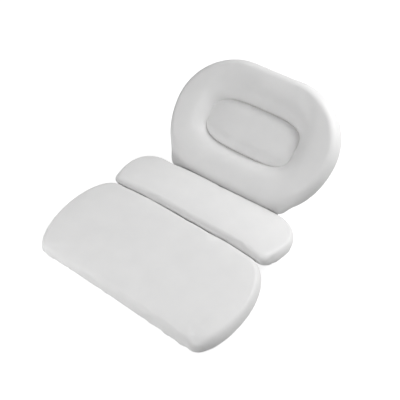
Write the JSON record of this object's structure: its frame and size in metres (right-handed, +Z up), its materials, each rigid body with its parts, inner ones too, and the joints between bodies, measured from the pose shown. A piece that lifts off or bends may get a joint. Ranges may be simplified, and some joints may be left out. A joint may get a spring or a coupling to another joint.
{
  "type": "bath pillow",
  "caption": "Folding bath pillow: a dished head cushion, a neck bolster and a shoulder cushion joined by fabric hinges, with suction cups on the back.",
  "frame": {"origin": "middle of the footprint, on the surface that the pillow stands on", "axes": "+X across the pillow to the user's left as they lie on it, +Y from the shoulder edge to the head cushion, +Z up"},
  "size_m": [0.37, 0.4414, 0.1993],
  "materials": {
    "cover_fabric": "smooth satin coated white fabric",
    "back_fabric": "matt white coated backing cloth",
    "hinge_fabric": "matt white coated cloth",
    "foam": "open-cell polyurethane foam",
    "clear_vinyl": "clear soft vinyl, glossy",
    "patch_vinyl": "matt white welded vinyl"
  },
  "bodies": {
    "neck": {"neck_front_cover": "cover_fabric", "neck_foam_core": "foam", "neck_back_sheet": "back_fabric", "head_hinge_flap": "hinge_fabric", "shoulder_hinge_tape": "hinge_fabric", "neck_left_cup_patch": "patch_vinyl", "neck_middle_cup_patch": "patch_vinyl", "neck_right_cup_patch": "patch_vinyl"},
    "head": {"head_ring_cover": "cover_fabric", "head_centre_cover": "cover_fabric", "head_ring_foam": "foam", "head_centre_foam": "foam", "head_back_sheet": "back_fabric", "head_lower_left_cup_patch": "patch_vinyl", "head_lower_right_cup_patch": "patch_vinyl", "head_upper_left_cup_patch": "patch_vinyl", "head_upper_right_cup_patch": "patch_vinyl"},
    "shoulder": {"shoulder_front_cover": "cover_fabric", "shoulder_foam_core": "foam", "shoulder_back_sheet": "back_fabric"},
    "neck_left_cup": {"neck_left_suction_cup": "clear_vinyl"},
    "neck_middle_cup": {"neck_middle_suction_cup": "clear_vinyl"},
    "neck_right_cup": {"neck_right_suction_cup": "clear_vinyl"},
    "head_lower_left_cup": {"head_lower_left_suction_cup": "clear_vinyl"},
    "head_lower_right_cup": {"head_lower_right_suction_cup": "clear_vinyl"},
    "head_upper_left_cup": {"head_upper_left_suction_cup": "clear_vinyl"},
    "head_upper_right_cup": {"head_upper_right_suction_cup": "clear_vinyl"}
  },
  "joints": [
    {"name": "head_fold", "type": "hinge", "parent": "neck", "child": "head", "pos_m": [0, 0.06529, 0.01799], "axis": [1, 0, 0], "range_deg": [-140, 1], "deforming": ["head_hinge_flap"]},
    {"name": "shoulder_fold", "type": "hinge", "parent": "neck", "child": "shoulder", "pos_m": [0, -0.04579, 0.02771], "axis": [1, 0, 0], "range_deg": [-6, 75], "deforming": ["shoulder_hinge_tape"]},
    {"name": "neck_left_cup_spin", "type": "hinge", "parent": "neck", "child": "neck_left_cup", "pos_m": [-0.11, 0.02026, 0.00235], "axis": [0, -0.0872, -0.9962], "continuous": true},
    {"name": "neck_middle_cup_spin", "type": "hinge", "parent": "neck", "child": "neck_middle_cup", "pos_m": [0, 0.02026, 0.00235], "axis": [0, -0.0872, -0.9962], "continuous": true},
    {"name": "neck_right_cup_spin", "type": "hinge", "parent": "neck", "child": "neck_right_cup", "pos_m": [0.11, 0.02026, 0.00235], "axis": [0, -0.0872, -0.9962], "continuous": true},
    {"name": "head_lower_left_cup_spin", "type": "hinge", "parent": "head", "child": "head_lower_left_cup", "pos_m": [-0.089, 0.12587, 0.05165], "axis": [0, 0.712, -0.7022], "continuous": true},
    {"name": "head_lower_right_cup_spin", "type": "hinge", "parent": "head", "child": "head_lower_right_cup", "pos_m": [0.089, 0.12587, 0.05165], "axis": [0, 0.712, -0.7022], "continuous": true},
    {"name": "head_upper_left_cup_spin", "type": "hinge", "parent": "head", "child": "head_upper_left_cup", "pos_m": [-0.079, 0.2017, 0.12854], "axis": [0, 0.712, -0.7022], "continuous": true},
    {"name": "head_upper_right_cup_spin", "type": "hinge", "parent": "head", "child": "head_upper_right_cup", "pos_m": [0.079, 0.2017, 0.12854], "axis": [0, 0.712, -0.7022], "continuous": true}
  ]
}
